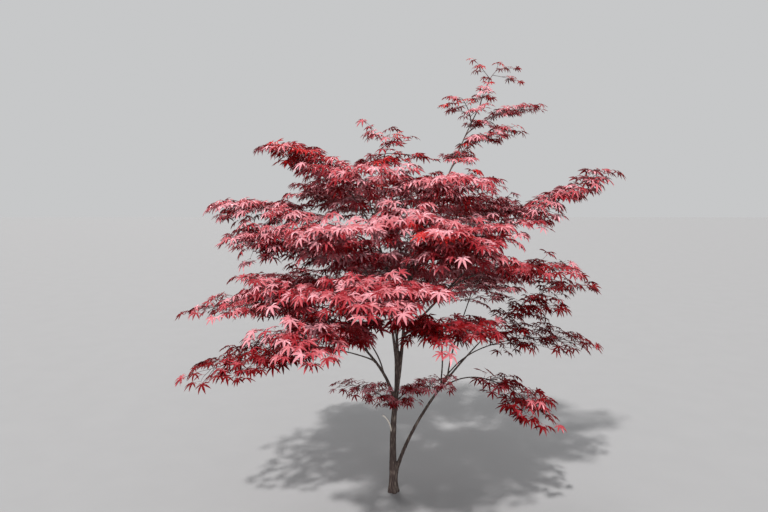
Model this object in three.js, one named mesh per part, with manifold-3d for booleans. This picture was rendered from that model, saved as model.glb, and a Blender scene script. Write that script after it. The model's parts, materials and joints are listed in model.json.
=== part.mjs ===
// A young red-leaved Japanese maple, 2.3 m high and about as wide, rooted in the ground.
// Millimetres, +Z up. The origin is the centre of the trunk's flat cut at ground level, +X is to the
// viewer's right and -Y is towards the viewer.
//
// The trunk leans a little and runs on as the tallest leader. Each limb is one curve from its parent to
// a tip in the crown: its bare part is a bough, and its leafy part is the stem of a mass of foliage.
import * as THREE from "three";
import { mergeVertices } from "three/addons/utils/BufferGeometryUtils.js";
import Module from "manifold-3d";

const wasm = await Module();
wasm.setup();

// Trunk
const TRUNK_HEIGHT = 2110;
const TRUNK_LEAN = 455; // how far the tip stands to the right of the foot
const TRUNK_LEAN_POWER = 2.7; // the foot stands upright and the lean grows with height
const TRUNK_SWAY = 11; // to each side and front to back, once it is clear of the ground
const SIDE_WAVES = 2.1;
const DEPTH_WAVES = 1.3;
const TRUNK_FOOT_RADIUS = 24;
const TRUNK_TIP_RADIUS = 3.4;
const TRUNK_TAPER_POWER = 2.5;
const ROOT_FLARE = 0.4; // extra radius at the ground, as a share of the foot's
const ROOT_FLARE_HEIGHT = 40;
const ROOT_LOBES = 5;
const ROOT_LOBE_DEPTH = 0.4; // how much more or less a lobe or a valley flares
const TRUNK_SIDES = 12;
const TRUNK_STEPS = 24;
const FOOT_TILT = 3; // the lowest ring stands square to the trunk, this close to level

// Limbs
const LIMB_TIP_RADIUS = 3.6;
const LIMB_TAPER = 0.003; // radius gained for each millimetre towards the root
const PIPE_POWER = 2.4; // a limb's radius to this power is the sum over what it carries
const USUAL = { lag: 1.25, lead: 1.5, arch: 0, leaf: 1 }; // of a limb whose row doesn't say
const LIMB_SWAY = 0.02; // sideways sway, as a share of the limb's length
const SWAY_TURNS = [5, 7]; // radians of sideways and upright sway along a limb
const PHASE_STEP = 1.7; // between one limb's sway and the next one's
const FIRST_SEED = 101;
const SEED_STEP = 17;
const GAP = 0.3; // clear space left between neighbouring solids
const THINNER = 0.85; // a limb's root is at most this share as thick as its parent there
const ROOT_DEPTH = 0.35; // a limb starts this share of its parent's radius off the parent's axis
const BOUGH_STEP = 85;
const THICK_BOUGH = 8; // radius from which a bough has more sides

// Foliage
const LEAF_REACH = 124; // blade from its middle to its longest lobe's tip, about twice the real size
const LEAF_STALK = 56;
const STALK_RADIUS = 0.9;
const LEAF_THICKNESS = 3;
const LEAF_DROOP = 0.3; // how far the lobes' tips hang below the blade's middle, as a share of its reach
const LAYER_WEIGHT = 2; // how much more height counts than distance along the ground between leaves
const LEAF_SPACING = 1.42; // between the middles of a mass's leaves, as a share of their reach
const TIP_LEAF_SHARE = 0.8; // a stem ends short of its limb's reach by this share of its last leaf
const TWIG_SPACING = 110; // between pairs of side twigs
const STEM_TIP_RADIUS = 2.2;
const INSIDE = 0.47; // radius of a ring that fits inside a three-sided twig, as a share of the twig's
const LEVEL_TWIG = 0.6; // a side twig rises this much as steeply as its stem
const LEAST_TWIG = 0.25; // shortest side twig, as a share of its leaf's reach
const LEAF_PAST_TWIG = 0.9; // share of a leaf's reach that lies past its twig's end
const LONG_TWIG = 0.6; // from this length, as a share of its leaf's reach, a twig also has leaves halfway
const TWIG_SEED_STEP = 1009;
const STEM_STEP = 130;
const STEM_POINTS = 7;
const SPREAD_FROM = 0.2; // the foliage's width along a stem follows a half wave from here
const SPREAD_TO = 0.84;
const SPREAD_POWER = 0.8;
const LEAF_ROOT = 8; // a stalk that starts on a twig is clear of it after this
const STEEP = 0.75; // a stem that rises by more of its length than this turns each pair across the last
const LEAN = 0.3; // how far a stem's last leaf tips forwards
const OUTWARD_LEAN = 0.25; // how far every leaf tips away from the trunk
const CLEARANCE = 4; // a leaf keeps this far from limbs and from the next mass
const PROBE_STEP = 12;

// What chance picks, each between two ends: where a twig stands in its stretch of stem, its angle from the
// stem in radians, its rise, its share of the usual spread, its leaf's size, and how far that leaf tips
// forwards and rolls sideways.
const CHANCE = {
  place: [0.35, 0.65],
  angle: [0.8, 1.1],
  rise: [-0.05, 0.25],
  spread: [0.85, 1.15],
  size: [0.85, 1.15],
  lean: [0.25, 0.55],
  roll: [-0.35, 0.35],
};

// The leaves halfway along a long twig: how far they point back across the stem and along it, their size
// and their roll, against the leaf at the twig's end.
const MID_LEAVES = [
  { inwards: 1, along: 0.7, size: 0.9, roll: -1 },
  { inwards: 0.2, along: -1.2, size: 0.8, roll: 1 },
];

// Sizes of leaf and lengths of twig that are tried where the first finds no room.
const SMALLER = [1, 0.82, 0.66];
const SHORTER = [1, 0.75, 0.5];

// Each limb: its name, the one it grows from and how far along, the reach of its foliage in the crown, the
// share of it that is bare, how far its foliage spreads to each side, and where they differ from the usual,
// how late it moves outwards (lag), how early it gains height (lead), how high it arches over that (arch),
// and how large its leaves are (leaf).
const LIMBS = [
  ["left_leader", "trunk", 0.31, [-730, 40, 1905], 0.62, 260, { lag: 2.2 }],
  ["left_bough", "trunk", 0.235, [-1130, -40, 1050], 0.5, 250, { lag: 1.6, arch: 90 }],
  ["right_stem", "trunk", 0.035, [1090, 50, 1150], 0.6, 250, { lag: 1.3 }],
  ["right_bough", "trunk", 0.42, [1205, 0, 1750], 0.5, 190, { lag: 1, lead: 1.05, arch: 70 }],
  ["front_bough", "trunk", 0.255, [-420, -700, 1490], 0.58, 280, { lag: 2 }],
  ["left_low", "left_bough", 0.24, [-1060, -350, 790], 0.36, 220, { arch: 70 }],
  ["left_high", "left_leader", 0.4, [-1000, 10, 1600], 0.44, 250, { arch: 20 }],
  ["left_middle", "left_leader", 0.22, [-890, -120, 1430], 0.46, 250, { arch: 40 }],
  ["front_left", "left_bough", 0.36, [-560, -720, 1220], 0.4, 270, { arch: 60 }],
  ["front_left_low", "left_bough", 0.17, [-460, -930, 1060], 0.42, 280, { arch: 90 }],
  ["front_centre", "front_bough", 0.3, [-130, -1040, 1235], 0.4, 270, { arch: 60 }],
  ["front_high", "trunk", 0.58, [430, -370, 1730], 0.4, 260, { arch: 20 }],
  ["front_right", "right_stem", 0.36, [200, -880, 1060], 0.46, 240, { arch: 80 }],
  ["front_right_high", "trunk", 0.5, [370, -800, 1480], 0.44, 270, { arch: 50 }],
  ["right_high", "right_bough", 0.22, [940, -260, 1280], 0.36, 240, { arch: 30 }],
  ["right_low", "right_stem", 0.34, [1130, 190, 800], 0.42, 240, { arch: 110 }],
  ["right_skirt", "right_stem", 0.27, [885, -230, 540], 0.54, 210, { arch: 160 }],
  ["upper_front", "left_leader", 0.44, [-240, -500, 1750], 0.34, 250, { arch: 20 }],
  ["top", "left_leader", 0.5, [110, 80, 1940], 0.36, 220, { leaf: 0.9 }],
  ["back_left_high", "left_leader", 0.36, [-470, 740, 1650], 0.44, 280, { arch: 40 }],
  ["back_left", "left_bough", 0.3, [-770, 700, 1080], 0.44, 280, { arch: 80 }],
  ["back_high", "trunk", 0.46, [200, 820, 1720], 0.44, 280, { arch: 40 }],
  ["back_centre", "trunk", 0.28, [-80, 1040, 1180], 0.44, 280, { arch: 100 }],
  ["back_right_high", "trunk", 0.6, [780, 600, 1560], 0.42, 260, { arch: 40 }],
  ["back_right", "right_stem", 0.4, [700, 850, 1110], 0.46, 280, { arch: 90 }],
  ["crown_tip", "trunk", 1, [640, 0, 2300], 0, 130, { leaf: 0.64 }],
  ["tier_left", "trunk", 0.96, [262, -60, 2150], 0, 150, { leaf: 0.65 }],
  ["tier_right", "trunk", 0.93, [790, 40, 2100], 0, 150, { leaf: 0.65 }],
  ["inner_front", "trunk", 0.56, [30, -640, 1560], 0, 240],
  ["neck", "trunk", 0.84, [690, 40, 1985], 0, 170, { leaf: 0.75 }],
  ["inner_right", "trunk", 0.5, [620, -150, 1340], 0, 230],
  ["low_left", "trunk", 0.22, [-320, -170, 650], 0, 150, { leaf: 0.7 }],
  ["low_right", "trunk", 0.24, [310, -200, 670], 0, 150, { leaf: 0.7 }],
  ["dead_stub", "trunk", 0.14, [-62, -30, 450], 1, 0, { lag: 1.8 }],
];

// Colours
const BARK = new THREE.MeshStandardMaterial({ color: 0x4a3a33, roughness: 0.85, metalness: 0 });
const DEAD_BARK = new THREE.MeshStandardMaterial({ color: 0xa89c8c, roughness: 0.9, metalness: 0 });
const FOLIAGE = new THREE.MeshStandardMaterial({ color: 0x8e1b2e, roughness: 0.5, metalness: 0 });

const UP = new THREE.Vector3(0, 0, 1);

// A repeatable random number from 0 to 1 at each call (mulberry32).
function seeded(seed) {
  let state = seed | 0;
  return () => {
    state = (state + 0x6d2b79f5) | 0;
    let mixed = Math.imul(state ^ (state >>> 15), 1 | state);
    mixed = (mixed + Math.imul(mixed ^ (mixed >>> 7), 61 | mixed)) ^ mixed;
    return ((mixed ^ (mixed >>> 14)) >>> 0) / 4294967296;
  };
}

function pick(draw, [least, most]) {
  return least + (most - least) * draw();
}

function trunkPoint(share) {
  const lean = TRUNK_LEAN * share ** TRUNK_LEAN_POWER;
  const sway = TRUNK_SWAY * Math.min(1, 3 * share);
  const side = sway * Math.sin(2 * Math.PI * SIDE_WAVES * share);
  const depth = sway * Math.sin(2 * Math.PI * DEPTH_WAVES * share);
  return new THREE.Vector3(lean - side, depth, TRUNK_HEIGHT * share);
}

function trunkRadius(share) {
  return TRUNK_TIP_RADIUS + (TRUNK_FOOT_RADIUS - TRUNK_TIP_RADIUS) * (1 - share) ** TRUNK_TAPER_POWER;
}

// Low root lobes swell the foot, and fade out a hand's breadth up.
function flare(height, around) {
  const swell = ROOT_FLARE * Math.exp(-height / ROOT_FLARE_HEIGHT);
  return 1 + swell * (1 + ROOT_LOBE_DEPTH * Math.cos(ROOT_LOBES * around));
}

// A limb gains height early and moves outwards late, so it leaves steeply and levels out at its tip.
function limbPoint(limb, t) {
  const { reach, phase } = limb;
  const out = t ** limb.lag;
  const rise = 1 - (1 - t) ** limb.lead;
  const side = new THREE.Vector3(-reach.y, reach.x, 0).normalize();
  const sway = LIMB_SWAY * reach.length() * Math.sin(Math.PI * t);
  return new THREE.Vector3(reach.x * out, reach.y * out, reach.z * rise)
    .addScaledVector(side, sway * Math.sin(SWAY_TURNS[0] * t + phase))
    .addScaledVector(UP, 0.5 * sway * Math.sin(SWAY_TURNS[1] * t + 2 * phase) + 4 * limb.arch * t * (1 - t))
    .add(limb.start);
}

function pointOn(name, t) {
  return name === "trunk" ? trunkPoint(t) : limbPoint(limbs.get(name), t);
}

function radiusOn(name, t) {
  if (name === "trunk") return trunkRadius(t);
  const limb = limbs.get(name);
  const tip = limb.bare || 1;
  return limb.rootRadius + (LIMB_TIP_RADIUS - limb.rootRadius) * Math.min(1, t / tip);
}

// Sets where a limb starts, and how far it runs from there. Its last leaf goes on to its tip.
function placeLimb(limb, offset) {
  const axis = pointOn(limb.from, limb.at);
  const tip = new THREE.Vector3().fromArray(limb.tip);
  const out = tip.clone().sub(axis).setZ(0).normalize();
  limb.start = axis.addScaledVector(out, offset);
  limb.reach = tip.sub(limb.start);
  const leaf = limb.bare < 1 ? TIP_LEAF_SHARE * (LEAF_REACH + LEAF_STALK) * limb.leaf : 0;
  limb.reach.addScaledVector(out, -leaf);
}

const limbs = new Map();
LIMBS.forEach(([name, from, at, tip, bare, spread, usual], i) => {
  const chance = { seed: FIRST_SEED + SEED_STEP * i, phase: PHASE_STEP * i };
  const limb = { name, from, at, tip, bare, spread, ...USUAL, ...usual, ...chance };
  limbs.set(name, limb);
  placeLimb(limb, 0);
});

// A limb's root is as thick as all that it carries asks, and thinner than its parent.
function setRootRadius(limb) {
  const carries = [...limbs.values()].filter((other) => other.from === limb.name);
  carries.forEach(setRootRadius);
  const own = LIMB_TIP_RADIUS ** PIPE_POWER;
  const carried = carries.reduce((sum, other) => sum + other.rootRadius ** PIPE_POWER, own);
  limb.rootRadius = carried ** (1 / PIPE_POWER) + LIMB_TAPER * limb.reach.length() * limb.bare;
}
[...limbs.values()].filter((limb) => limb.from === "trunk").forEach(setRootRadius);
for (const limb of limbs.values()) {
  const parent = radiusOn(limb.from, limb.at);
  limb.rootRadius = Math.min(limb.rootRadius, THINNER * parent);
  placeLimb(limb, ROOT_DEPTH * parent);
}

// The stretch of a limb or of the trunk between two of its parameters, as a curve.
class Stretch extends THREE.Curve {
  constructor(point, first, last) {
    super();
    Object.assign(this, { point, first, last });
  }

  getPoint(t, target = new THREE.Vector3()) {
    return target.copy(this.point(this.first + (this.last - this.first) * t));
  }
}

// A curve taken as straight chords, so that what grows from it meets the faceted solid round it.
class Chords extends THREE.Curve {
  constructor(curve, steps) {
    super();
    this.curve = curve;
    this.points = curve.getSpacedPoints(steps);
  }

  getPoint(t, target = new THREE.Vector3()) {
    const place = t * (this.points.length - 1);
    const i = Math.min(Math.floor(place), this.points.length - 2);
    return target.lerpVectors(this.points[i], this.points[i + 1], place - i);
  }

  getPointAt(share, target) {
    return this.getPoint(share, target);
  }

  getTangentAt(share) {
    return this.curve.getTangentAt(share);
  }
}

// A closed cylinder bent along a curve, with a radius for each share of its length.
function bentCylinder(curve, radius, sides, steps) {
  const geometry = new THREE.CylinderGeometry(1, 1, 1, sides, steps);
  const frames = curve.computeFrenetFrames(steps, false);
  const position = geometry.getAttribute("position");
  const local = new THREE.Vector3();
  for (let i = 0; i < position.count; i++) {
    local.fromBufferAttribute(position, i);
    const step = Math.round((local.y + 0.5) * steps);
    const share = step / steps;
    const around = Math.atan2(local.x, local.z);
    const size = radius(share, around) * Math.hypot(local.x, local.z);
    const place = curve
      .getPointAt(share)
      .addScaledVector(frames.normals[step], size * Math.sin(around))
      .addScaledVector(frames.binormals[step], size * Math.cos(around));
    position.setXYZ(i, place.x, place.y, place.z);
  }
  return geometry;
}

function toSolid(geometry) {
  const bare = new THREE.BufferGeometry().setAttribute("position", geometry.getAttribute("position"));
  if (geometry.index) bare.setIndex(geometry.index);
  const merged = mergeVertices(bare, 1e-3);
  const vertProperties = merged.getAttribute("position").array;
  const triVerts = new Uint32Array(merged.index.array);
  const make = () => new wasm.Manifold(new wasm.Mesh({ numProp: 3, vertProperties, triVerts }));
  const made = make();
  if (made.volume() > 0) return made;
  for (let i = 0; i < triVerts.length; i += 3) {
    [triVerts[i + 1], triVerts[i + 2]] = [triVerts[i + 2], triVerts[i + 1]];
  }
  return make();
}

// The largest body of a solid, without the scraps that a cut leaves.
function largestBody(solid) {
  return solid.decompose().reduce((best, body) => (body.volume() > best.volume() ? body : best));
}

function toMesh(solid, name, material) {
  const mesh = solid.getMesh();
  const geometry = new THREE.BufferGeometry();
  geometry.setAttribute("position", new THREE.BufferAttribute(mesh.vertProperties, 3));
  geometry.setIndex(new THREE.BufferAttribute(mesh.triVerts, 1));
  geometry.computeVertexNormals();
  const made = new THREE.Mesh(geometry, material);
  made.name = name;
  return made;
}

function makeTrunk(extra) {
  // Equal steps in height, because the flare needs the true height of each ring.
  const curve = new Stretch(trunkPoint, 0, 1);
  curve.getPointAt = (share) => curve.getPoint(share);
  curve.getTangentAt = (share) => curve.getTangent(share);
  const geometry = bentCylinder(
    curve,
    (share, around) => trunkRadius(share) * flare(TRUNK_HEIGHT * share, around) + extra,
    TRUNK_SIDES,
    TRUNK_STEPS,
  );
  // The foot is cut flat at the ground, and a cutter reaches below it.
  const position = geometry.getAttribute("position");
  for (let i = 0; i < position.count; i++) {
    if (position.getZ(i) < FOOT_TILT) position.setZ(i, -extra);
  }
  return toSolid(geometry);
}

function makeBough(limb, extra) {
  const curve = new Stretch((t) => limbPoint(limb, t), 0, limb.bare);
  const length = curve.getLength();
  const sides = limb.rootRadius > THICK_BOUGH ? 7 : 5;
  const steps = Math.max(3, Math.round(length / BOUGH_STEP));
  const radius = (share) => limb.rootRadius + (LIMB_TIP_RADIUS - limb.rootRadius) * share + extra;
  return toSolid(bentCylinder(curve, radius, sides, steps));
}

const trunk = makeTrunk(0);
const cutters = new Map([["trunk", makeTrunk(GAP)]]);
const boughs = new Map();
for (const limb of limbs.values()) {
  if (!limb.bare) continue;
  const siblings = [...limbs.values()].filter((other) => other.from === limb.from && boughs.has(other.name));
  let bough = makeBough(limb, 0).subtract(cutters.get(limb.from));
  for (const sibling of siblings) bough = bough.subtract(cutters.get(sibling.name));
  boughs.set(limb.name, largestBody(bough));
  cutters.set(limb.name, makeBough(limb, GAP));
}

// Points along all limbs with their radii, for keeping foliage clear of wood.
function probes() {
  const found = [];
  const along = (point, radius, last) => {
    const length = new Stretch(point, 0, last).getLength();
    const count = Math.ceil(length / PROBE_STEP);
    for (let i = 0; i <= count; i++) {
      const t = (last * i) / count;
      found.push({ place: point(t), radius: radius(t) });
    }
  };
  along(trunkPoint, trunkRadius, 1);
  for (const limb of limbs.values()) {
    if (limb.bare) along((t) => limbPoint(limb, t), (t) => radiusOn(limb.name, t), limb.bare);
  }
  return found;
}
const wood = probes();

// The leafy stems' middle lines: each point of a mass is nearer to its own than to any other.
const stems = new Map();
for (const limb of limbs.values()) {
  if (limb.bare === 1) continue;
  const line = [];
  for (let i = 0; i < STEM_POINTS; i++) {
    line.push(limbPoint(limb, limb.bare + ((1 - limb.bare) * i) / (STEM_POINTS - 1)));
  }
  stems.set(limb.name, line);
}

function distanceToLine(place, line) {
  const segment = new THREE.Line3();
  const nearest = new THREE.Vector3();
  let best = Infinity;
  for (let i = 1; i < line.length; i++) {
    segment.set(line[i - 1], line[i]).closestPointToPoint(place, true, nearest);
    best = Math.min(best, nearest.distanceTo(place));
  }
  return best;
}

function inOwnSpace(place, name) {
  const own = distanceToLine(place, stems.get(name)) / limbs.get(name).spread;
  for (const [other, line] of stems) {
    const { spread } = limbs.get(other);
    if (other !== name && distanceToLine(place, line) < own * spread + 2 * CLEARANCE) return false;
  }
  return true;
}

// Five pointed lobes and a stalk, as [angle from the middle lobe, share of the leaf's reach].
const LOBES = [
  [0, 1],
  [22, 0.4],
  [46, 0.92],
  [70, 0.34],
  [98, 0.62],
  [150, 0.11],
];

// The points of a leaf: its middle, its lobed outline from the end of one lobe round to the next, and the
// directions that it is built on. Its stalk starts at base.
function leafPoints(base, ahead, normal, size) {
  const side = new THREE.Vector3().crossVectors(normal, ahead);
  const middle = base.clone().addScaledVector(ahead, LEAF_STALK * size);
  const outline = (hand) =>
    LOBES.map(([degrees, share]) => {
      const angle = THREE.MathUtils.degToRad(hand * degrees);
      const reach = LEAF_REACH * size * share;
      return middle
        .clone()
        .addScaledVector(ahead, reach * Math.cos(angle))
        .addScaledVector(side, reach * Math.sin(angle))
        .addScaledVector(normal, -LEAF_DROOP * reach * share);
    });
  return { base, ahead, normal, side, middle, left: outline(1), right: outline(-1).reverse().slice(0, -1) };
}

// A three-sided ring across a twig, with one corner below.
function twigRing(centre, { side, normal }, radius) {
  return [30, 150, 270].map((degrees) => {
    const angle = THREE.MathUtils.degToRad(degrees);
    const across = centre.clone().addScaledVector(side, radius * Math.cos(angle));
    return across.addScaledVector(normal, radius * Math.sin(angle));
  });
}

// A blade that thins from its middle to its edge, in one solid with the twig or stalk that it hangs from.
function leafSolid(leaf, root) {
  const { base, normal, middle, left, right } = leaf;
  const top = middle.clone().addScaledVector(normal, LEAF_THICKNESS / 2);
  const bottom = middle.clone().addScaledVector(normal, -LEAF_THICKNESS / 2);
  const stalk = twigRing(base, leaf, STALK_RADIUS);
  const outline = [...left, stalk[0], stalk[1], ...right];
  const points = [top, bottom, ...outline, stalk[2], ...twigRing(root.place, leaf, root.radius)];
  const index = [];
  // Corners of the ring at the blade are p, q and under, and those of the ring at the root are r, s and t.
  const p = 2 + left.length;
  const q = p + 1;
  const under = 2 + outline.length;
  const [r, s, t] = [under + 1, under + 2, under + 3];
  outline.forEach((_, i) => {
    const a = 2 + i;
    const b = 2 + ((i + 1) % outline.length);
    index.push(0, a, b);
    if (a !== p) index.push(1, b, a);
  });
  index.push(1, under, p, 1, q, under);
  index.push(q, p, r, q, r, s, p, under, t, p, t, r, under, q, s, under, s, t);
  index.push(s, r, t);
  const geometry = new THREE.BufferGeometry().setFromPoints(points);
  geometry.setIndex(index);
  return toSolid(geometry);
}

// Whether wood comes near a leaf, which counts as a drooping disc round its middle.
function leafTouchesWood({ middle, normal }, size) {
  const reach = LEAF_REACH * size;
  const offset = new THREE.Vector3();
  return wood.some((probe) => {
    offset.subVectors(probe.place, middle);
    const height = offset.dot(normal);
    const flat = Math.sqrt(Math.max(0, offset.lengthSq() - height * height));
    if (flat > reach + probe.radius + CLEARANCE) return false;
    const hang = LEAF_DROOP * reach * Math.min(1, flat / reach) ** 2;
    return Math.abs(height + hang) < probe.radius + PROBE_STEP / 2 + CLEARANCE;
  });
}

function twigTouchesWood(from, to) {
  const segment = new THREE.Line3(from, to);
  const nearest = new THREE.Vector3();
  return wood.some((probe) => {
    segment.closestPointToPoint(probe.place, true, nearest);
    if (nearest.distanceTo(from) < 2 * CLEARANCE) return false;
    return nearest.distanceTo(probe.place) < probe.radius + CLEARANCE;
  });
}

// Leaves lie nearly level, so one may be closer above another than beside it.
function tooNear(one, other, size) {
  const beside = Math.hypot(one.x - other.x, one.y - other.y);
  return Math.hypot(beside, LAYER_WEIGHT * (one.z - other.z)) < LEAF_SPACING * LEAF_REACH * size;
}

// How wide the foliage spreads at each share of a leafy stem: less where it starts and at its tip.
function spreadAt(share) {
  return Math.sin(Math.PI * (SPREAD_FROM + (SPREAD_TO - SPREAD_FROM) * share)) ** SPREAD_POWER;
}

// The side twigs of a leafy stem, in opposite pairs.
function sideTwigs(limb, stem, length) {
  const twigs = [];
  const count = Math.max(2, Math.round(length / TWIG_SPACING));
  for (let i = 0; i < count; i++) {
    for (const hand of [1, -1]) {
      const draw = seeded(limb.seed + TWIG_SEED_STEP * (2 * i + hand));
      const share = (i + pick(draw, CHANCE.place)) / count;
      const root = stem.getPointAt(share);
      const ahead = stem.getTangentAt(share);
      const side = new THREE.Vector3().crossVectors(UP, ahead).normalize();
      if (ahead.z > STEEP && i % 2) side.cross(ahead);
      const angle = pick(draw, CHANCE.angle);
      const out = ahead
        .clone()
        .setZ(LEVEL_TWIG * ahead.z)
        .multiplyScalar(Math.cos(angle))
        .addScaledVector(side, hand * Math.sin(angle))
        .addScaledVector(UP, pick(draw, CHANCE.rise))
        .normalize();
      const spread = limb.spread * spreadAt(share) * pick(draw, CHANCE.spread);
      twigs.push({ share, root, ahead, side: side.multiplyScalar(hand), out, spread, angle, draw });
    }
  }
  return twigs;
}

// One mass: a stem with a leaf at its tip, and side twigs with a leaf at each one's end and more along the
// longer ones. A leaf that doesn't fit is tried smaller and on a shorter twig, and then skipped.
function growMass(limb) {
  const own = new Stretch((t) => limbPoint(limb, t), limb.bare, 1);
  const length = own.getLength();
  const steps = Math.max(2, Math.round(length / STEM_STEP));
  const stem = new Chords(new Stretch((t) => own.getPoint(t), limb.bare ? GAP / length : 0, 1), steps);
  const stemRadius = (share) => LIMB_TIP_RADIUS + (STEM_TIP_RADIUS - LIMB_TIP_RADIUS) * share;
  const pieces = [toSolid(bentCylinder(stem, stemRadius, 3, steps))];
  const leaves = [];

  const tryLeaf = (base, ahead, size, lean, roll, root) => {
    const outward = base.clone().sub(trunkPoint(base.z / TRUNK_HEIGHT)).setZ(0).normalize();
    const normal = UP.clone().addScaledVector(outward, OUTWARD_LEAN).addScaledVector(ahead, lean);
    normal.addScaledVector(new THREE.Vector3().crossVectors(UP, ahead), roll).normalize();
    const pointing = ahead.clone().addScaledVector(normal, -ahead.dot(normal)).normalize();
    for (const smaller of SMALLER) {
      const fit = size * smaller;
      const leaf = leafPoints(base, pointing, normal, fit);
      const edge = [leaf.middle, ...leaf.left, ...leaf.right];
      if (leafTouchesWood(leaf, fit) || !edge.every((point) => inOwnSpace(point, limb.name))) continue;
      if (leaves.some((other) => tooNear(other, leaf.middle, fit))) continue;
      leaves.push(leaf.middle);
      pieces.push(leafSolid(leaf, root));
      return true;
    }
    return false;
  };

  const end = stem.getPointAt(1);
  const onward = stem.getTangentAt(1);
  const last = { place: end.clone().addScaledVector(onward, -LEAF_ROOT), radius: INSIDE * STEM_TIP_RADIUS };
  tryLeaf(end.clone().addScaledVector(onward, LEAF_ROOT), onward, limb.leaf, LEAN, 0, last);
  for (const { share, root, ahead, side, out, spread, angle, draw } of sideTwigs(limb, stem, length)) {
    const size = limb.leaf * pick(draw, CHANCE.size);
    const whole = LEAF_REACH * size;
    const reach = Math.max(LEAST_TWIG * whole, (spread - LEAF_PAST_TWIG * whole) / Math.sin(angle));
    const lean = pick(draw, CHANCE.lean);
    const roll = pick(draw, CHANCE.roll);
    for (const shorter of SHORTER) {
      const tip = root.clone().addScaledVector(out, reach * shorter);
      if (!inOwnSpace(tip, limb.name) || twigTouchesWood(root, tip)) continue;
      const radius = INSIDE * stemRadius(share);
      if (!tryLeaf(tip, out, size, lean, roll, { place: root, radius })) continue;
      if (reach * shorter < LONG_TWIG * whole) break;
      const place = root.clone().lerp(tip, 0.5);
      const half = { place, radius: 0.5 * INSIDE * (radius + STALK_RADIUS) };
      for (const leaf of MID_LEAVES) {
        const facing = out.clone().addScaledVector(side, -leaf.inwards).addScaledVector(ahead, leaf.along);
        const base = place.clone().addScaledVector(facing.normalize(), LEAF_ROOT);
        tryLeaf(base, facing, leaf.size * size, lean, leaf.roll * roll, half);
      }
      break;
    }
  }

  let mass = wasm.Manifold.union(pieces);
  if (!limb.bare) mass = mass.subtract(cutters.get("trunk"));
  return largestBody(mass);
}

const tree = new THREE.Group();
tree.add(toMesh(trunk, "trunk", BARK));
for (const [name, bough] of boughs) {
  const dead = name === "dead_stub";
  tree.add(toMesh(bough, dead ? name : name + "_limb", dead ? DEAD_BARK : BARK));
}
for (const limb of limbs.values()) {
  if (limb.bare < 1) tree.add(toMesh(growMass(limb), limb.name + "_foliage", FOLIAGE));
}

export default tree;
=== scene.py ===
"""A young red-leaved maple in layered sprays of lobed leaves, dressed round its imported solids.

Lengths are millimetres until a mesh is made. +Z is up, +X is to the viewer's right and -Y is towards
the viewer. The trunk, limbs and first side twigs follow the same rule as the solids, and finer twigs and
leaves go on from them.
"""

import bisect
import itertools
import json
import math
from types import SimpleNamespace

import bpy
import numpy as np
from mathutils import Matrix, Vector, noise

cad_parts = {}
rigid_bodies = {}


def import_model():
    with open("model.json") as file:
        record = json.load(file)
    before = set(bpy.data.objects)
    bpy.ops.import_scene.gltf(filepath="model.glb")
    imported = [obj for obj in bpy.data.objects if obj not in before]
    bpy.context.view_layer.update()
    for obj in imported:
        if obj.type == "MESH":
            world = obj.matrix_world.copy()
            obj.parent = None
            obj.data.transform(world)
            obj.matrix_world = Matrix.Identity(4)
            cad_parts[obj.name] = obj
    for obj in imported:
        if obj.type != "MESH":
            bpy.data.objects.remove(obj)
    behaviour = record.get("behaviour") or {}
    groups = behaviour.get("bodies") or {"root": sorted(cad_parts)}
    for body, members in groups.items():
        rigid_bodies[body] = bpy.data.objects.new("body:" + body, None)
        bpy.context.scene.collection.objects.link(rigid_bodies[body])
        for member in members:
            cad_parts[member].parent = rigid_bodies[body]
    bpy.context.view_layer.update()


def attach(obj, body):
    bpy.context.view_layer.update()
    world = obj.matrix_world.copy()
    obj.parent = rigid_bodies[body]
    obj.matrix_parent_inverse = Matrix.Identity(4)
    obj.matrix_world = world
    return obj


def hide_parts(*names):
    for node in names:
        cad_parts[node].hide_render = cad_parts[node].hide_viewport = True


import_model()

METRES = 0.001
UP = Vector((0, 0, 1))

# Trunk
TRUNK_HEIGHT = 2110
TRUNK_LEAN = 455  # how far the tip stands to the right of the foot
TRUNK_LEAN_POWER = 2.7  # the foot stands upright and the lean grows with height
TRUNK_SWAY = 11  # to each side, and to the front and back
SWAY_GROWTH = 3  # the sway is full a third of the way up
SIDE_WAVES = 2.1
DEPTH_WAVES = 1.3
TRUNK_FOOT_RADIUS = 24
TRUNK_TIP_RADIUS = 3.4
TRUNK_TAPER_POWER = 2.5
ROOT_FLARE = 0.4  # extra radius at the ground, as a share of the foot's
ROOT_FLARE_HEIGHT = 40
ROOT_LOBES = 5
ROOT_LOBE_DEPTH = 0.4  # how much more or less a lobe or a valley flares

# Limbs
LIMB_TIP_RADIUS = 3.6
LIMB_TAPER = 0.003  # radius gained for each millimetre towards the root
PIPE_POWER = 2.4  # a limb's radius to this power is the sum over what it carries
USUAL = {"lag": 1.25, "lead": 1.5, "arch": 0, "leaf": 1}  # of a limb whose row doesn't say
LIMB_SWAY = 0.02  # sideways sway, as a share of the limb's length
RISE_SWAY = 0.5  # upright sway, as a share of the sideways one
SWAY_TURNS = (5, 7)  # radians of sideways and upright sway along a limb
PHASE_STEP = 1.7  # between one limb's sway and the next one's
FIRST_SEED = 101
SEED_STEP = 17
THINNER = 0.85  # a limb's root is at most this share as thick as its parent there
ROOT_DEPTH = 0.35  # a limb starts this share of its parent's radius off the parent's axis

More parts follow.
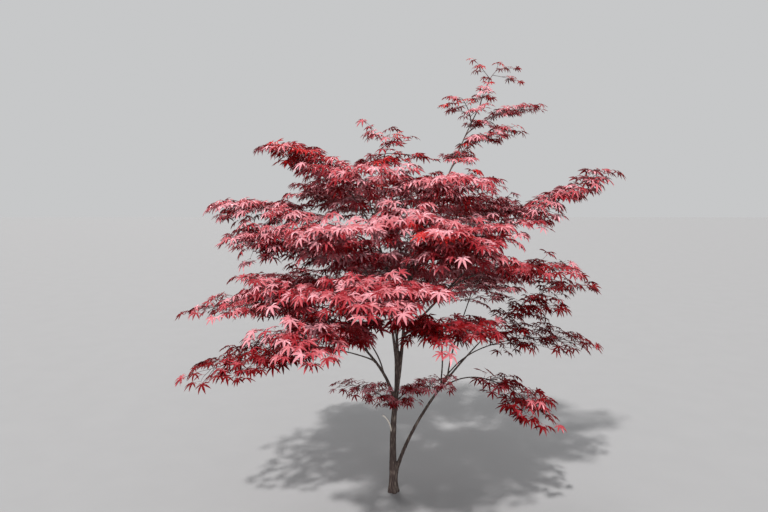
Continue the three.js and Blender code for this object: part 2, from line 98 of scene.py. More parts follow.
# Foliage of the solids, which sets how far each mass reaches
SOLID_BLADE = 124
SOLID_STALK = 56
TIP_LEAF_SHARE = 0.8  # a stem ends short of its limb's reach by this share of its last leaf
TWIG_SPACING = 110  # between pairs of side twigs
STEM_TIP_RADIUS = 2.2
STEEP = 0.75  # a stem that rises by more of its length than this turns each pair across the last
LEVEL_TWIG = 0.6  # a side twig rises this much as steeply as its stem
LEAST_TWIG = 0.25  # shortest side twig, as a share of its leaf's blade
LEAF_PAST_TWIG = 0.9  # how far a leaf goes past its twig, as a share of its blade
TWIG_SEED_STEP = 1009
SPREAD_FROM = 0.2  # the foliage's width along a stem follows a half wave from here
SPREAD_TO = 0.84
SPREAD_POWER = 0.8
OUTWARD_LEAN = 0.25  # how far every leaf tips away from the trunk
CHANCE = {
    "place": (0.35, 0.65),
    "angle": (0.8, 1.1),
    "rise": (-0.05, 0.25),
    "spread": (0.85, 1.15),
    "size": (0.85, 1.15),
}
SHORTER = (1, 0.75, 0.5)  # a side twig that leaves its mass or touches wood is tried again shorter

# Finer twigs
BLADE = 53  # of a life-size leaf, from the stalk's end to the longest lobe's tip
STALK = 32
FINER = SOLID_BLADE + SOLID_STALK - BLADE - STALK  # how far a twig of the solids goes on
STEM_PAST_TWIGS = 8  # a stem goes on by this much more
NODE_STEP = 47  # between pairs of leaves or twigs along a twig
STEP_KEPT = 0.55  # share of that for any size of leaf
STEP_GROWN = 0.45  # share of it that grows with the leaves
TWIG_RADIUS = 1.9
TWIG_TIP_RADIUS = 0.8
TWIG_THINNER = 0.8  # a side twig is at most this share as thick as its stem
THICK_TWIG = 2  # radius above which a twig has five sides and not four
TWIG_SAG = 0.1  # of a twig's length at its tip
TWIG_CHECKED_AT = 0.85  # share of a side twig's length up to which it has to be clear
BEND_STEP = 28
WAVER = 0.025  # of a twig's length to each side
WAVER_TURNS = (4, 8)  # radians of wavering along a twig
FINEST = 2  # a twig of this order has no forks, only leaves
FORK_ANGLE = 0.85
FORK_LENGTH = 0.62  # of the twig's length past the fork
FORK_CHANCE = 0.8
FORK_SAG = 0.08
FORK_THINNER = 0.75
FORK_TIP = 0.9  # a fork's tip is this share as thick as other tips
LEAST_FORK = 38
PAIR_CHANCE = {
    "place": (-0.15, 0.15),
    "angle": (-0.2, 0.2),
    "rise": (-0.05, 0.2),
    "length": (0.75, 1.15),
    "size": (0.8, 1.05),
}
TIP_CHANCE = {
    "angle": (0.35, 0.75),
    "rise": (-0.1, 0.1),
    "size": (0.85, 1.1),
    "middle size": (0.7, 1),
}
TIP_LEAVES = 0.2  # how much likelier a leaf is in the pair at a twig's tip
MIDDLE_LEAF = 0.55  # how likely one more is between them, as a share of its mass's density
SPUR_SEED_STEP = 7
SPUR_SPACING = 0.6 * TWIG_SPACING
SPUR_RADIUS = 1.3  # as a share of a twig's tip
SPUR_CHANCE = {
    "place": (0.1, 0.9),
    "angle": (0.7, 1.4),
    "rise": (0.1, 0.7),
    "length": (25, 60),
}
SHOOT_STEP = 75
SHOOT_SAG = 0.12
SHOOT_RADIUS = 0.8 * TWIG_RADIUS
SHOOT_CHANCE = {
    "place": (0.1, 0.9),
    "angle": (0.5, 1.2),
    "length": (80, 190),
}

# Leaves
LEAF_GAP = 20  # least distance between the middles of two leaves
LAYER_WEIGHT = 1.6  # how much more height counts in that than distance along the ground
GAP_CELL = 60
WOOD_GAP = 10
BLADE_MIDDLE = 0.4  # share of the blade from its stalk to its middle
STALK_RISE = 0.06  # of its length
STALK_BOW = 0.07  # of its length, halfway
STALK_RADIUS = 0.65
STALK_PROFILE = (1.3, 1, 1, 0.3)  # share of the radius at the twig, halfway, at the blade and in it
STALK_IN_BLADE = 3
LEAF_CHANCE = {
    "stalk": (0.75, 1.25),
    "lean": (0, 0.6),
    "roll": (-0.5, 0.5),
    "droop": (0.05, 0.3),
    "fold": (0.4, 1.1),
    "light": (-1.3, 1.3),
}

# Each limb: name, parent and how far along it, the reach of its foliage, the share of it that is bare, how
# far its foliage spreads, and where they differ from the usual, its lag, lead, arch and leaf size.
LIMBS = [
    ("left_leader", "trunk", 0.31, (-730, 40, 1905), 0.62, 260, {"lag": 2.2}),
    ("left_bough", "trunk", 0.235, (-1130, -40, 1050), 0.5, 250, {"lag": 1.6, "arch": 90}),
    ("right_stem", "trunk", 0.035, (1090, 50, 1150), 0.6, 250, {"lag": 1.3}),
    ("right_bough", "trunk", 0.42, (1205, 0, 1750), 0.5, 190, {"lag": 1, "lead": 1.05, "arch": 70}),
    ("front_bough", "trunk", 0.255, (-420, -700, 1490), 0.58, 280, {"lag": 2}),
    ("left_low", "left_bough", 0.24, (-1060, -350, 790), 0.36, 220, {"arch": 70}),
    ("left_high", "left_leader", 0.4, (-1000, 10, 1600), 0.44, 250, {"arch": 20}),
    ("left_middle", "left_leader", 0.22, (-890, -120, 1430), 0.46, 250, {"arch": 40}),
    ("front_left", "left_bough", 0.36, (-560, -720, 1220), 0.4, 270, {"arch": 60}),
    ("front_left_low", "left_bough", 0.17, (-460, -930, 1060), 0.42, 280, {"arch": 90}),
    ("front_centre", "front_bough", 0.3, (-130, -1040, 1235), 0.4, 270, {"arch": 60}),
    ("front_high", "trunk", 0.58, (430, -370, 1730), 0.4, 260, {"arch": 20}),
    ("front_right", "right_stem", 0.36, (200, -880, 1060), 0.46, 240, {"arch": 80}),
    ("front_right_high", "trunk", 0.5, (370, -800, 1480), 0.44, 270, {"arch": 50}),
    ("right_high", "right_bough", 0.22, (940, -260, 1280), 0.36, 240, {"arch": 30}),
    ("right_low", "right_stem", 0.34, (1130, 190, 800), 0.42, 240, {"arch": 110}),
    ("right_skirt", "right_stem", 0.27, (885, -230, 540), 0.54, 210, {"arch": 160}),
    ("upper_front", "left_leader", 0.44, (-240, -500, 1750), 0.34, 250, {"arch": 20}),
    ("top", "left_leader", 0.5, (110, 80, 1940), 0.36, 220, {"leaf": 0.9}),
    ("back_left_high", "left_leader", 0.36, (-470, 740, 1650), 0.44, 280, {"arch": 40}),
    ("back_left", "left_bough", 0.3, (-770, 700, 1080), 0.44, 280, {"arch": 80}),
    ("back_high", "trunk", 0.46, (200, 820, 1720), 0.44, 280, {"arch": 40}),
    ("back_centre", "trunk", 0.28, (-80, 1040, 1180), 0.44, 280, {"arch": 100}),
    ("back_right_high", "trunk", 0.6, (780, 600, 1560), 0.42, 260, {"arch": 40}),
    ("back_right", "right_stem", 0.4, (700, 850, 1110), 0.46, 280, {"arch": 90}),
    ("crown_tip", "trunk", 1, (640, 0, 2300), 0, 130, {"leaf": 0.64}),
    ("tier_left", "trunk", 0.96, (262, -60, 2150), 0, 150, {"leaf": 0.65}),
    ("tier_right", "trunk", 0.93, (790, 40, 2100), 0, 150, {"leaf": 0.65}),
    ("inner_front", "trunk", 0.56, (30, -640, 1560), 0, 240, {}),
    ("neck", "trunk", 0.84, (690, 40, 1985), 0, 170, {"leaf": 0.75}),
    ("inner_right", "trunk", 0.5, (620, -150, 1340), 0, 230, {}),
    ("low_left", "trunk", 0.22, (-320, -170, 650), 0, 150, {"leaf": 0.7}),
    ("low_right", "trunk", 0.24, (310, -200, 670), 0, 150, {"leaf": 0.7}),
    ("dead_stub", "trunk", 0.14, (-62, -30, 450), 1, 0, {"lag": 1.8}),
]

# How many of its leaves each mass has, out of 1, where it differs from the usual
USUAL_DENSITY = 0.92
DENSITY = {
    "crown_tip": 1,
    "tier_left": 1,
    "neck": 0.75,
    "top": 1,
    "upper_front": 0.8,
    "left_leader": 1,
    "left_bough": 0.65,
    "left_low": 0.65,
    "front_left": 0.75,
    "front_left_low": 0.75,
    "front_right": 0.75,
    "inner_right": 0.8,
    "back_right_high": 0.85,
    "right_bough": 0.75,
    "right_high": 0.5,
    "right_stem": 0.5,
    "right_low": 0.35,
    "right_skirt": 0.5,
    "low_left": 0.7,
    "low_right": 0.75,
}

# How steeply three kinds of shoots rise: those that stand up, hang a little and hang steeply. Each mass has
# its own chance of them, where it differs from the usual.
SHOOT_RISES = ((0.35, 1.0), (-0.4, -0.1), (-1.2, -0.5))
USUAL_SHOOTS = (1, 1, 0)
SHOOTS = {
    "crown_tip": (0, 0, 0),
    "tier_left": (0.2, 0.2, 0),
    "tier_right": (0.2, 0.2, 0),
    "neck": (0.3, 0, 0),
    "top": (0.3, 0.8, 0),
    "upper_front": (0.2, 0.5, 0.6),
    "front_high": (0.6, 0.6, 0.6),
    "front_bough": (1, 1, 1),
    "front_centre": (1, 1, 0.5),
    "inner_front": (1, 1, 1),
    "front_right_high": (1, 1, 1),
    "left_leader": (0.1, 0.8, 0),
    "left_high": (0.1, 0.9, 0.7),
    "left_middle": (1, 1, 1),
    "left_bough": (0.1, 0.2, 0),
    "left_low": (0.1, 0.1, 0),
    "front_left": (0.1, 0.8, 0.5),
    "front_left_low": (0.6, 0.6, 0),
    "front_right": (0.3, 0.3, 0),
    "inner_right": (0.5, 0.3, 0),
    "right_bough": (0.4, 0.3, 0),
    "right_high": (0.3, 0.1, 0),
    "right_stem": (0.3, 0.3, 0),
    "right_low": (0.3, 0.2, 0),
    "right_skirt": (0.5, 0.3, 0),
    "low_left": (0.2, 0.2, 0),
    "low_right": (0.5, 0.5, 0),
}

# Painted light and shade: tints dealt out by spray, as plain colours from the shaded inside of the crown to
# its sunlit top
# shaded leaves are painted darker and sunlit ones lighter; scarlet is partly young leaves' own red, partly
# painted light shining through backlit leaves
PAINTED_LIGHT_TINTS = {
    "maroon": (0.12, 0.001, 0.002),
    "wine": (0.205, 0.008, 0.013),
    "crimson": (0.305, 0.032, 0.042),
    "cherry": (0.39, 0.095, 0.11),
    "rose": (0.47, 0.185, 0.21),
    "scarlet": (0.34, 0.008, 0.008),
}
# gloss of each tint: the tints of painted shade reflect less, those of painted light more
GLOSS = {"maroon": 0.1, "wine": 0.2, "crimson": 0.4, "cherry": 0.5, "rose": 0.5, "scarlet": 0.2}
SHADES = ["maroon", "wine", "crimson", "cherry", "rose"]  # from the least light to the most
SHADE_ENDS = (0.24, 0.46, 0.68, 0.87, 1)  # share of all leaves up to each of them
SUN = Vector((-0.25, -0.52, 0.82)).normalized()
SHADE_CELL = 60
SHADE_REACH = 380  # how far above a leaf others shade it
LIGHT_LEFT = 0.6  # of what falls on a leaf, for the ones below it
SPRAY_SHARE = 0.25  # how much the light on its whole spray counts for a leaf, against that on itself
SPRAY_CHANCE = (-0.15, 0.15)
# painted shade low in the crown: leaves below this height get darker tints
LOW = 1150  # below this height leaves get less and less of the sky's light
LOW_SHARE = 1.5
# painted shade by mass: the masses listed get darker tints, or lighter ones below 0
SHADIER = {  # masses in more shade than the leaves above them give, or below 0 in less
    "right_low": 2,
    "right_stem": 1.8,
    "right_high": 0.9,
    "right_skirt": 0.9,
    "front_right": 0.9,
    "left_low": 1.3,
    "left_bough": 0.6,
    "low_right": -0.4,
    "low_left": -0.4,
    "left_leader": -0.4,
    "left_high": -0.4,
    "left_middle": -0.4,
    "front_bough": -0.3,
    "inner_front": -0.4,
}
SCARLET_SHARE = 0.01  # of all sprays
SCARLET_SHARE_HIGH = 0.4  # of those above the height that counts as high
SCARLET_FROM = -0.3  # leaves with less chance of light than this keep a shade in a scarlet spray
HIGH = 1740

# Repeatable random numbers
MASK = 0xFFFFFFFF
RANDOM_STEP = 0x6D2B79F5


def seeded(seed):
    """A repeatable random number from 0 to 1 at each call."""
    state = seed & MASK

    def draw():
        nonlocal state
        state = (state + RANDOM_STEP) & MASK
        mixed = ((state ^ (state >> 15)) * (1 | state)) & MASK
        mixed = ((mixed + (mixed ^ (mixed >> 7)) * (61 | mixed)) & MASK) ^ mixed
        return ((mixed ^ (mixed >> 14)) & MASK) / (MASK + 1)

    return draw


def pick(draw, ends):
    """A random number between two ends."""
    least, most = ends
    return least + (most - least) * draw()


# Lines of the trunk and limbs
def trunk_point(share):
    lean = TRUNK_LEAN * share**TRUNK_LEAN_POWER
    sway = TRUNK_SWAY * min(1, SWAY_GROWTH * share)
    side = sway * math.sin(2 * math.pi * SIDE_WAVES * share)
    depth = sway * math.sin(2 * math.pi * DEPTH_WAVES * share)
    return Vector((lean - side, depth, TRUNK_HEIGHT * share))


def trunk_radius(share):
    return TRUNK_TIP_RADIUS + (TRUNK_FOOT_RADIUS - TRUNK_TIP_RADIUS) * (1 - share) ** TRUNK_TAPER_POWER


def limb_point(limb, t):
    """A limb runs out late by its lag, rises early by its lead, bows up by its arch and sways."""
    reach = limb.reach
    rise = 1 - max(0, 1 - t) ** limb.lead
    side = Vector((-reach.y, reach.x, 0)).normalized()
    sway = LIMB_SWAY * reach.length * math.sin(math.pi * t)
    upright = RISE_SWAY * sway * math.sin(SWAY_TURNS[1] * t + 2 * limb.phase)
    bow = upright + 4 * limb.arch * t * (1 - t)
    out = t**limb.lag
    point = Vector((reach.x * out, reach.y * out, reach.z * rise + bow))
    return point + side * sway * math.sin(SWAY_TURNS[0] * t + limb.phase) + limb.start


def point_on(name, t):
    return trunk_point(t) if name == "trunk" else limb_point(limbs[name], t)


def radius_on(name, t):
    if name == "trunk":
        return trunk_radius(t)
    limb = limbs[name]
    return limb.radius + (LIMB_TIP_RADIUS - limb.radius) * min(1, t / (limb.bare or 1))


def place_limb(limb, offset):
    """Sets where a limb starts, and how far it runs from there. Its last leaf goes on to its tip."""
    axis = point_on(limb.parent, limb.at)
    out = limb.tip - axis
    out = Vector((out.x, out.y, 0)).normalized()
    limb.start = axis + out * offset
    leaf = TIP_LEAF_SHARE * (SOLID_BLADE + SOLID_STALK) * limb.leaf if limb.bare < 1 else 0
    limb.reach = limb.tip - limb.start - out * leaf


def set_radius(limb):
    """A limb's root is as thick as all that it carries asks."""
    carried = LIMB_TIP_RADIUS**PIPE_POWER
    for other in limbs.values():
        if other.parent == limb.name:
            set_radius(other)
            carried += other.radius**PIPE_POWER
    limb.radius = carried ** (1 / PIPE_POWER) + LIMB_TAPER * limb.reach.length * limb.bare


limbs = {}
for i, (name, parent, at, tip, bare, spread, own) in enumerate(LIMBS):
    limbs[name] = SimpleNamespace(
        name=name, parent=parent, at=at, tip=Vector(tip), bare=bare, spread=spread, **{**USUAL, **own}
    )
    limbs[name].seed = FIRST_SEED + SEED_STEP * i
    limbs[name].phase = PHASE_STEP * i
    place_limb(limbs[name], 0)
for limb in limbs.values():
    if limb.parent == "trunk":
        set_radius(limb)
for limb in limbs.values():
    parent_radius = radius_on(limb.parent, limb.at)
    limb.radius = min(limb.radius, THINNER * parent_radius)
    place_limb(limb, ROOT_DEPTH * parent_radius)
leafy = [limb for limb in limbs.values() if limb.bare < 1]
stub = limbs["dead_stub"]


class Path:
    """A line of points, read by its share of the whole length."""

    def __init__(self, points):
        self.points = points
        self.ends = [0]
        for a, b in zip(points, points[1:]):
            self.ends.append(self.ends[-1] + (b - a).length)
        self.length = self.ends[-1]

    def step(self, share):
        found = bisect.bisect_right(self.ends, share * self.length) - 1
        return min(max(found, 0), len(self.points) - 2)

    def at(self, share):
        i = self.step(share)
        part = (share * self.length - self.ends[i]) / (self.ends[i + 1] - self.ends[i])
        return self.points[i].lerp(self.points[i + 1], part)

    def ahead(self, share):
        i = self.step(share)
        return (self.points[i + 1] - self.points[i]).normalized()


def limb_path(limb, first, last, steps):
    return Path([limb_point(limb, first + (last - first) * i / steps) for i in range(steps + 1)])


# Wood near which no leaf or twig may be, and each mass's middle line, which marks out its own space
PROBE_STEP = 12
LENGTH_STEPS = 20
LINE_STEPS = 6


def probes():
    """Places and radii all along the trunk and the bare limbs."""
    places = []
    radii = []
    for name, last in [("trunk", 1)] + [(limb.name, limb.bare) for limb in limbs.values() if limb.bare]:
        length = Path([point_on(name, last * i / LENGTH_STEPS) for i in range(LENGTH_STEPS + 1)]).length
        count = math.ceil(length / PROBE_STEP)
        for i in range(count + 1):
            places.append(point_on(name, last * i / count))
            radii.append(radius_on(name, last * i / count))
    return np.array(places), np.array(radii)


wood_places, wood_radii = probes()
line_points = np.array(
    [
        [limb_point(limb, limb.bare + (1 - limb.bare) * i / LINE_STEPS) for i in range(LINE_STEPS + 1)]
        for limb in leafy
    ]
)
line_starts = line_points[:, :-1]
line_spans = line_points[:, 1:] - line_starts
line_squares = (line_spans**2).sum(2)
line_spreads = np.array([limb.spread for limb in leafy])


def nearest_mass(place):
    """The mass whose space a place is in: the one whose line is nearest for its spread."""
    offset = np.array(place) - line_starts
    share = np.clip((offset * line_spans).sum(2) / line_squares, 0, 1)
    distance = np.linalg.norm(offset - share[..., None] * line_spans, axis=2).min(1)
    return leafy[int(np.argmin(distance / line_spreads))].name


def touches_wood(place, gap):
    return bool((np.linalg.norm(wood_places - np.array(place), axis=1) < wood_radii + gap).any())


def segment_touches_wood(start, end):
    """Whether a twig passes through a limb other than where it starts."""
    start = np.array(start)
    span = np.array(end) - start
    offset = wood_places - start
    share = np.clip(offset @ span / (span @ span), 0, 1)
    nearest = share[:, None] * span
    far = np.linalg.norm(nearest, axis=1) > 2 * WOOD_GAP
    near = np.linalg.norm(offset - nearest, axis=1) < wood_radii + WOOD_GAP / 2
    return bool((far & near).any())


# Sprays and their tints
leaves = []
twigs = []
taken = {}


def new_spray(limb, place, draw):
    """What the leaves of one spray share: their mass, its light, and whether they are scarlet."""
    return SimpleNamespace(
        limb=limb,
        density=DENSITY.get(limb.name, USUAL_DENSITY),
        chance=pick(draw, SPRAY_CHANCE) - SHADIER.get(limb.name, 0),
        scarlet=draw() < (SCARLET_SHARE_HIGH if place.z > HIGH else SCARLET_SHARE),
        light=[],
    )


def light_on(places):
    """How much sun reaches each leaf past those close above it, in columns that point to the sun."""
    across = UP.cross(SUN).normalized()
    up_slope = SUN.cross(across)
    columns = np.floor(np.stack([places @ np.array(across), places @ np.array(up_slope)], 1) / SHADE_CELL)
    heights = places @ np.array(SUN)
    light = np.zeros(len(places))
    found = {}
    for i in np.argsort(-heights):
        column = found.setdefault(tuple(columns[i]), [])
        above = sum(height < heights[i] + SHADE_REACH for height in column)
        light[i] = LIGHT_LEFT**above
        column.append(heights[i])
    return light


def deal_painted_light():
    """Paints light and shade into the leaves' colours: gives each leaf the shade for the light on it and on
    its spray, or its spray's scarlet.
    """
    light = light_on(np.array([leaf.base for leaf in leaves]))
    for leaf, own in zip(leaves, light):
        leaf.spray.light.append(own)
    scores = []
    for leaf, own in zip(leaves, light):
        shared = SPRAY_SHARE * float(np.mean(leaf.spray.light)) + leaf.spray.chance
        scores.append(own + shared + LOW_SHARE * min(1, leaf.base.z / LOW) + leaf.chance)
    ranks = np.argsort(np.argsort(scores, kind="stable"), kind="stable") / len(leaves)
    for leaf, rank in zip(leaves, ranks):
        scarlet = leaf.spray.scarlet and leaf.chance > SCARLET_FROM
        leaf.tint = "scarlet" if scarlet else SHADES[bisect.bisect_right(SHADE_ENDS, rank)]


# Growth of twigs and leaves
def crowded(place, gap):
    """Whether another leaf is too near. Leaves lie nearly level, so height counts for more."""
    cell = tuple(int(along // GAP_CELL) for along in place)
    for step in itertools.product((-1, 0, 1), repeat=3):
        for other in taken.get(tuple(a + b for a, b in zip(cell, step)), ()):
            apart = place - other
            if math.hypot(apart.x, apart.y, LAYER_WEIGHT * apart.z) < gap:
                return True
    taken.setdefault(cell, []).append(place)
    return False


def add_leaf(place, facing, size, spray, draw):
    """One leaf on its stalk, if there is room for it."""
    stalk = STALK * size * pick(draw, LEAF_CHANCE["stalk"])
    lean = pick(draw, LEAF_CHANCE["lean"])
    roll = pick(draw, LEAF_CHANCE["roll"])
    droop = pick(draw, LEAF_CHANCE["droop"])
    fold = pick(draw, LEAF_CHANCE["fold"])
    shape = int(draw() * len(BLADES))
    chance = pick(draw, LEAF_CHANCE["light"])
    base = place + facing * stalk + UP * (STALK_RISE * stalk)
    middle = base + facing * (BLADE_MIDDLE * BLADE * size)
    if touches_wood(middle, WOOD_GAP) or crowded(middle, LEAF_GAP * size):
        return
    axis = trunk_point(min(1, max(0, base.z / TRUNK_HEIGHT)))
    outward = Vector((base.x - axis.x, base.y - axis.y, 0)).normalized()
    normal = UP + OUTWARD_LEAN * outward + lean * facing + roll * UP.cross(facing)
    normal.normalize()
    ahead = (facing - normal * facing.dot(normal)).normalized()
    leaves.append(
        SimpleNamespace(
            place=place, base=base, ahead=ahead, normal=normal, size=size, droop=droop, fold=fold,
            shape=shape, spray=spray, chance=chance,
        )
    )


def bent_twig(start, out, length, sag, draw):
    """A slender line that leaves along out, wavers a little and sags towards its tip."""
    count = max(3, round(length / BEND_STEP))
    side = UP.cross(out).normalized()
    waver = WAVER * length * (1 if draw() < 0.5 else -1)
    turn = pick(draw, WAVER_TURNS)
    points = []
    for i in range(count + 1):
        share = i / count
        sway = side * (waver * math.sin(turn * share))
        points.append(start + out * (length * share) + sway - UP * (sag * length * share**2))
    return Path(points)


def add_twig(path, radius, tip_radius):
    twigs.append((path, radius, tip_radius))


def turned(ahead, hand, angle, rise):
    """A direction to one side of another, nearly level."""
    side = UP.cross(ahead).normalized()
    level = Vector((ahead.x, ahead.y, LEVEL_TWIG * ahead.z))
    return (level * math.cos(angle) + side * (hand * math.sin(angle)) + UP * rise).normalized()


def may_grow(limb, root, tip):
    """Whether a twig stays in its own mass and clear of wood."""
    return nearest_mass(tip) == limb.name and not segment_touches_wood(root, tip)


def dress(path, radius, order, spray, draw):
    """Puts forks or leaves along a twig in opposite pairs, and a fan of leaves at its tip."""
    size = spray.limb.leaf
    count = max(1, round(path.length / (NODE_STEP * (STEP_KEPT + STEP_GROWN * size))))
    for i in range(1, count):
        share = (i + pick(draw, PAIR_CHANCE["place"])) / count
        place = path.at(share)
        ahead = path.ahead(share)
        rest = path.length * (1 - share)
        for hand in (1, -1):
            angle = FORK_ANGLE + pick(draw, PAIR_CHANCE["angle"])
            out = turned(ahead, hand, angle, pick(draw, PAIR_CHANCE["rise"]))
            length = FORK_LENGTH * rest * pick(draw, PAIR_CHANCE["length"])
            if order < FINEST and length > LEAST_FORK and draw() < FORK_CHANCE:
                fork = bent_twig(place, out, length, FORK_SAG, draw)
                if may_grow(spray.limb, place, fork.points[-1]):
                    fork_radius = FORK_THINNER * (radius + (TWIG_TIP_RADIUS - radius) * share)
                    add_twig(fork, fork_radius, TWIG_TIP_RADIUS * FORK_TIP)
                    dress(fork, fork_radius, order + 1, spray, draw)
            elif draw() < spray.density:
                add_leaf(place, out, size * pick(draw, PAIR_CHANCE["size"]), spray, draw)
    end = path.at(1)
    ahead = path.ahead(1)
    for hand in (1, -1):
        angle = pick(draw, TIP_CHANCE["angle"])
        out = turned(ahead, hand, angle, pick(draw, TIP_CHANCE["rise"]))
        if draw() < spray.density + TIP_LEAVES:
            add_leaf(end, out, size * pick(draw, TIP_CHANCE["size"]), spray, draw)
    if draw() < MIDDLE_LEAF * spray.density:
        add_leaf(end, ahead, size * pick(draw, TIP_CHANCE["middle size"]), spray, draw)


def spread_at(share):
    return math.sin(math.pi * (SPREAD_FROM + (SPREAD_TO - SPREAD_FROM) * share)) ** SPREAD_POWER


def side_twigs(limb, stem):
    """The first side twigs of a leafy stem in opposite pairs, drawn as for the solids."""
    count = max(2, round(stem.length / TWIG_SPACING))
    for i in range(count):
        for hand in (1, -1):
            draw = seeded(limb.seed + TWIG_SEED_STEP * (2 * i + hand))
            share = (i + pick(draw, CHANCE["place"])) / count
            ahead = stem.ahead(share)
            side = UP.cross(ahead).normalized()
            if ahead.z > STEEP and i % 2:
                side = side.cross(ahead)
            angle = pick(draw, CHANCE["angle"])
            level = Vector((ahead.x, ahead.y, LEVEL_TWIG * ahead.z))
            out = level * math.cos(angle) + side * (hand * math.sin(angle))
            out = (out + UP * pick(draw, CHANCE["rise"])).normalized()
            spread = limb.spread * spread_at(share) * pick(draw, CHANCE["spread"])
            yield share, out, spread, angle, draw


STEM_STEPS = 60
STEM_POINTS = 24


def lengthen_stem(limb, stem):
    """Carries a stem on to the end of its limb's reach."""
    draw = seeded(limb.seed)
    out = turned(stem.ahead(1), 1, 0, 0)
    onward = bent_twig(stem.at(1), out, (FINER + STEM_PAST_TWIGS) * limb.leaf, TWIG_SAG, draw)
    line = [stem.at(i / STEM_POINTS) for i in range(STEM_POINTS)] + onward.points
    add_twig(Path(line), LIMB_TIP_RADIUS, TWIG_TIP_RADIUS)
    dress(onward, STEM_TIP_RADIUS, 1, new_spray(limb, onward.at(1), draw), draw)


def add_side_twigs(limb, stem):
    """Carries each of the solids' side twigs on to where its own leaf would end."""
    for share, out, spread, angle, draw in side_twigs(limb, stem):
        root = stem.at(share)
        size = limb.leaf * pick(draw, CHANCE["size"])
        whole = SOLID_BLADE * size
        reach = max(LEAST_TWIG * whole, (spread - LEAF_PAST_TWIG * whole) / math.sin(angle))
        stem_radius = LIMB_TIP_RADIUS + (STEM_TIP_RADIUS - LIMB_TIP_RADIUS) * share
        radius = min(TWIG_RADIUS, TWIG_THINNER * stem_radius)
        for shorter in SHORTER:
            twig = bent_twig(root, out, reach * shorter + FINER * size, TWIG_SAG, draw)
            tip = twig.at(TWIG_CHECKED_AT)
            if may_grow(limb, root, tip):
                add_twig(twig, radius, TWIG_TIP_RADIUS)
                dress(twig, radius, 1, new_spray(limb, tip, draw), draw)
                break


def add_spurs(limb, stem, draw):
    """Short twigs close along a stem, which carry leaves above it."""
    count = max(2, round(stem.length / SPUR_SPACING))
    for i in range(count):
        for hand in (1, -1):
            share = (i + pick(draw, SPUR_CHANCE["place"])) / count
            angle = pick(draw, SPUR_CHANCE["angle"])
            out = turned(stem.ahead(share), hand, angle, pick(draw, SPUR_CHANCE["rise"]))
            spur = bent_twig(stem.at(share), out, pick(draw, SPUR_CHANCE["length"]), 0, draw)
            add_twig(spur, TWIG_TIP_RADIUS * SPUR_RADIUS, TWIG_TIP_RADIUS)
            dress(spur, TWIG_TIP_RADIUS, FINEST, new_spray(limb, spur.at(1), draw), draw)


def add_shoots(limb, stem, draw):
    """Twigs that leave a stem steeply up or down, and give its mass depth."""
    count = max(2, round(stem.length / SHOOT_STEP))
    kinds = list(zip(SHOOT_RISES, SHOOTS.get(limb.name, USUAL_SHOOTS)))
    for i, (rises, chance), hand in itertools.product(range(count), kinds, (1, -1)):
        if draw() >= chance:
            continue
        share = (i + pick(draw, SHOOT_CHANCE["place"])) / count
        root = stem.at(share)
        angle = pick(draw, SHOOT_CHANCE["angle"])
        out = turned(stem.ahead(share), hand, angle, pick(draw, rises))
        length = pick(draw, SHOOT_CHANCE["length"]) * limb.leaf * spread_at(share)
        shoot = bent_twig(root, out, length, SHOOT_SAG, draw)
        tip = shoot.at(1)
        if may_grow(limb, root, tip):
            add_twig(shoot, SHOOT_RADIUS, TWIG_TIP_RADIUS)
            dress(shoot, SHOOT_RADIUS, 1, new_spray(limb, tip, draw), draw)


def grow_mass(limb):
    """One mass: its stem, side twigs with finer ones, and spurs and shoots that fill in between."""
    stem = limb_path(limb, limb.bare, 1, STEM_STEPS)
    lengthen_stem(limb, stem)
    add_side_twigs(limb, stem)
    draw = seeded(limb.seed + SPUR_SEED_STEP)
    add_spurs(limb, stem, draw)
    add_shoots(limb, stem, draw)


# Blades
SINUS_HEIGHT = 0.3  # how high the bottom of a sinus lies on the fold, as a share of a lobe's width
LOBE_POINTS = (  # along a lobe and across it, as shares of its length and of its width
    (0.42, 0),
    (0.74, 0),
    (1, 0),
    (0.5, 1),
    (0.78, 0.6),
    (0.5, -1),
    (0.78, -0.6),
)
HANG = 0.5  # how far a lobe hangs straight down, as a share of its droop off the blade


def blade(lobes, width, sinus):
    """A lobed blade: each point's place ahead and to the side, its height on a fold, and the faces.

    Each lobe is (degrees from the middle, length), and narrows from its widest part to a long point.
    """
    points = [(0, 0, 0)]
    faces = []
    sinuses = [0]
    for (a, long_a), (b, long_b) in zip(lobes, lobes[1:]):
        angle = math.radians((a + b) / 2)
        depth = sinus * min(long_a, long_b)
        points.append((depth * math.cos(angle), depth * math.sin(angle), SINUS_HEIGHT * width))
        sinuses.append(len(points) - 1)
    sinuses.append(0)
    for i, (degrees, length) in enumerate(lobes):
        cos = math.cos(math.radians(degrees))
        sin = math.sin(math.radians(degrees))
        first = len(points)
        for along, across in LOBE_POINTS:
            x = along * length
            y = across * width * length
            points.append((x * cos - y * sin, x * sin + y * cos, abs(y)))
        near, far, tip, left, left_far, right, right_far = range(first, first + len(LOBE_POINTS))
        before = sinuses[i]
        after = sinuses[i + 1]
        if after:
            faces.append((0, near, after))
        if before:
            faces.append((0, before, near))
        faces += [(near, left, after), (near, left_far, left), (near, far, left_far), (far, tip, left_far)]
        faces += [(near, before, right), (near, right, right_far), (near, right_far, far)]
        faces.append((far, right_far, tip))
    return np.array(points, float), np.array(faces)


def fan(angles, lengths):
    """Lobes on both sides of the middle one, from one side of the blade round to the other."""
    right = [(-a, long) for a, long in zip(angles[::-1], lengths[::-1])]
    return right + [(0, 1)] + list(zip(angles, lengths))


BLADES = [
    blade(fan((41, 83, 126), (0.94, 0.72, 0.4)), width=0.115, sinus=0.27),
    blade(fan((38, 78, 120), (0.9, 0.66, 0.34)), width=0.1, sinus=0.24),
    blade(fan((46, 96), (0.92, 0.62)), width=0.125, sinus=0.3),
    blade(fan((44, 86, 130), (0.97, 0.8, 0.46)), width=0.105, sinus=0.25),
]


